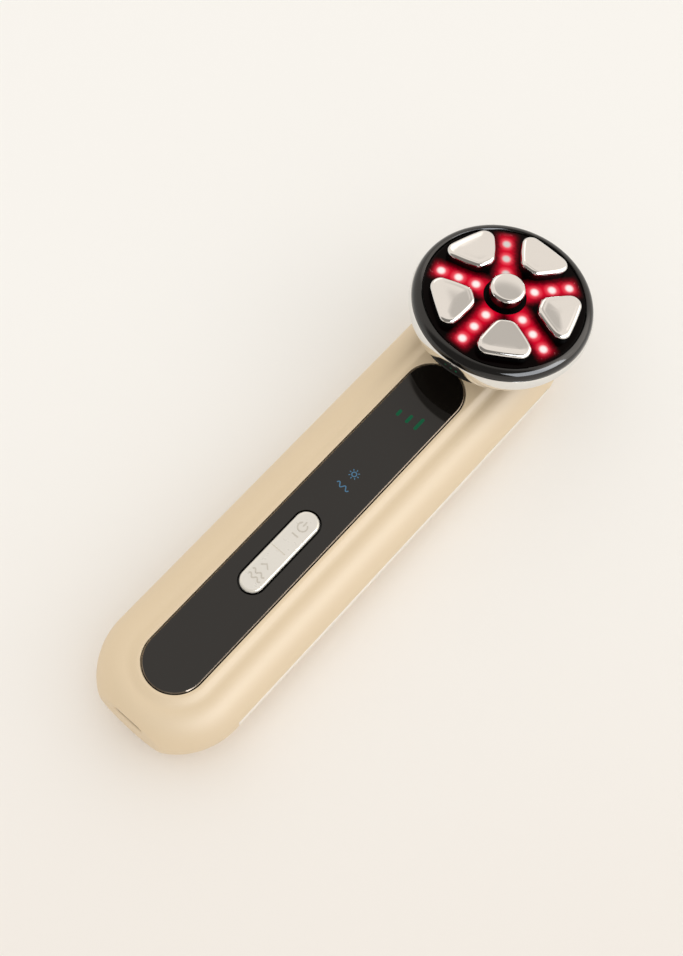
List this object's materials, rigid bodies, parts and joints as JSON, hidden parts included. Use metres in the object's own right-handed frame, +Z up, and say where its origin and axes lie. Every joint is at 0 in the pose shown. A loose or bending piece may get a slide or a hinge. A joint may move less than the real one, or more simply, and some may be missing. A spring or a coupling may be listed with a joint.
{
  "type": "facial toning device",
  "caption": "Handheld facial toning device: slim cream handle with gloss panel and rocker key, and a round head with petal-shaped electrodes, a button electrode and red lights.",
  "frame": {"origin": "centre of the bounding box's bottom face: the device lies on its back on the ground plane", "axes": "+Y along the handle from the flat butt with the charging port to the head, +Z up out of the control panel and the electrode face, +X to the right of a user who looks down on the panel with the head at the top"},
  "size_m": [0.0478, 0.162, 0.0441],
  "materials": {
    "shell_cream": "satin gloss",
    "plated_silver": "bright plated",
    "panel_black": "high gloss",
    "bezel_black": "high gloss",
    "key_pearl": "pearl gloss",
    "electrode_nickel": "polished",
    "window_red": "translucent",
    "frame_grey": "matt",
    "seal_silicone": "matt",
    "plug_rubber": "matt",
    "tape_black": "matt",
    "switch_black": "matt",
    "holder_white": "matt",
    "pipe_green": "translucent",
    "pipe_blue": "translucent",
    "led_white": "gloss",
    "board_green": "solder mask",
    "chip_black": "matt",
    "socket_steel": "brushed",
    "screw_steel": "plated",
    "cell_foil": "foil",
    "connector_white": "matt",
    "lead_red": "gloss",
    "lead_black": "gloss",
    "ferrite": "matt",
    "copper_wire": "enamelled",
    "ribbon_amber": "gloss",
    "sensor_bead": "gloss"
  },
  "bodies": {
    "handle": {"rear_shell": "shell_cream", "front_shell": "shell_cream", "side_strip_left": "plated_silver", "side_strip_right": "plated_silver", "control_panel": "panel_black", "panel_tape": "tape_black", "key_frame": "frame_grey", "key_pad": "seal_silicone", "switch_cases": "switch_black", "light_holder": "holder_white", "level_light_pipes": "pipe_green", "mode_light_pipes": "pipe_blue", "level_leds": "led_white", "mode_leds": "led_white", "main_board": "board_green", "controller_chip": "chip_black", "charger_chip": "chip_black", "charging_socket": "socket_steel", "socket_tongue": "switch_black", "battery_cell": "cell_foil", "battery_pad": "seal_silicone", "battery_header": "connector_white", "battery_plug": "connector_white", "battery_lead_positive": "lead_red", "battery_lead_negative": "lead_black", "rf_coil_core": "ferrite", "rf_coil_winding": "copper_wire", "ribbon_sockets": "connector_white", "head_ribbon": "ribbon_amber", "board_screws": "screw_steel", "case_screws": "screw_steel", "screw_plugs": "plug_rubber", "head_bowl": "plated_silver", "head_screws": "screw_steel", "bowl_gasket": "seal_silicone", "bezel_ring": "bezel_black", "led_board": "board_green", "face_leds": "led_white", "face_plate": "bezel_black", "light_window": "window_red", "centre_collar": "bezel_black", "petal_electrode_1": "electrode_nickel", "petal_electrode_2": "electrode_nickel", "petal_electrode_3": "electrode_nickel", "petal_electrode_4": "electrode_nickel", "petal_electrode_5": "electrode_nickel", "centre_electrode": "electrode_nickel", "electrode_screws": "screw_steel", "temperature_sensor": "sensor_bead"},
    "key": {"rocker_key": "key_pearl"},
    "lower_plunger": {"switch_plunger_lower": "switch_black"},
    "upper_plunger": {"switch_plunger_upper": "switch_black"}
  },
  "joints": [
    {"name": "key_rock", "type": "hinge", "parent": "handle", "child": "key", "pos_m": [0, -0.02713, 0.0202], "axis": [1, 0, 0], "range_deg": [-1.9, 1.9], "stiffness_Nm_per_rad": 0.3, "deforming": ["key_pad"]},
    {"name": "lower_switch_press", "type": "slide", "parent": "handle", "child": "lower_plunger", "axis": [0, 0, 1], "range_m": [-0.00025, 0], "stiffness_N_per_m": 4000},
    {"name": "upper_switch_press", "type": "slide", "parent": "handle", "child": "upper_plunger", "axis": [0, 0, 1], "range_m": [-0.00025, 0], "stiffness_N_per_m": 4000}
  ]
}
